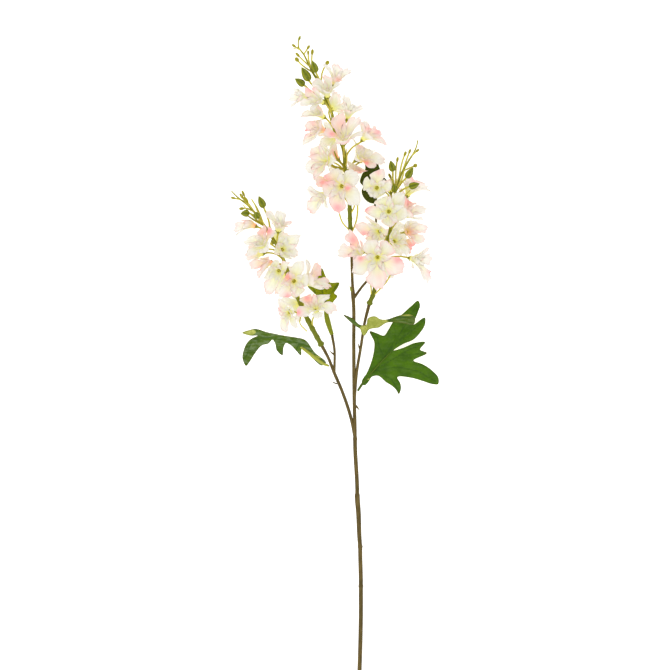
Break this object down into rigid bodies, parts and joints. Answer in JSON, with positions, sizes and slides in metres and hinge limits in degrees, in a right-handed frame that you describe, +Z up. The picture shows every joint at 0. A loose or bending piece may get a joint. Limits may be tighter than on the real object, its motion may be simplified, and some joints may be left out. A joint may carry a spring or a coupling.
{
  "type": "delphinium flower spray",
  "caption": "Cut delphinium spray that lies on a surface: a branching stem with flower spikes of open florets and buds, and lobed leaves.",
  "frame": {"origin": "the middle of the bounding box's underside, on the surface that the spray lies on", "axes": "+Y from the stem's cut end towards the tip of the tallest spike, +X to the right seen from above, +Z up from the surface"},
  "size_m": [0.2802, 0.8629, 0.0885],
  "materials": {
    "stem": "matt olive-brown bark",
    "stalk": "matt yellow-green, darker on the buds",
    "leaf": "printed cloth, veined",
    "petal": "thin cloth, cream at the base and blush pink at the edges"
  },
  "bodies": {
    "root": {"floret_c01": "petal", "floret_c02": "petal", "floret_c03": "petal", "floret_c04": "petal", "floret_c05": "petal", "floret_c06": "petal", "floret_c07": "petal", "floret_c08": "petal", "floret_c09": "petal", "floret_c10": "petal", "floret_c11": "petal", "floret_c12": "petal", "floret_c13": "petal", "floret_c14": "petal", "floret_c15": "petal", "floret_c16": "petal", "floret_c17": "petal", "floret_c18": "petal", "floret_c19": "petal", "floret_c20": "petal", "floret_l01": "petal", "floret_l02": "petal", "floret_l03": "petal", "floret_l04": "petal", "floret_l05": "petal", "floret_l06": "petal", "floret_l07": "petal", "floret_l08": "petal", "floret_l09": "petal", "floret_l10": "petal", "floret_l11": "petal", "floret_l12": "petal", "floret_l13": "petal", "floret_l14": "petal", "floret_r01": "petal", "floret_r02": "petal", "floret_r03": "petal", "floret_r04": "petal", "floret_r05": "petal", "floret_r06": "petal", "floret_r07": "petal", "floret_r08": "petal", "floret_r09": "petal", "floret_r10": "petal", "floret_r11": "petal", "floret_r12": "petal", "floret_r13": "petal", "floret_r14": "petal", "floret_r15": "petal", "leaf_back": "leaf", "leaf_front": "leaf", "leaf_left": "leaf", "leaf_right": "leaf", "leaf_upper": "leaf", "stalks_centre": "stalk", "stalks_left": "stalk", "stalks_right": "stalk", "stem": "stem"}
  },
  "joints": []
}
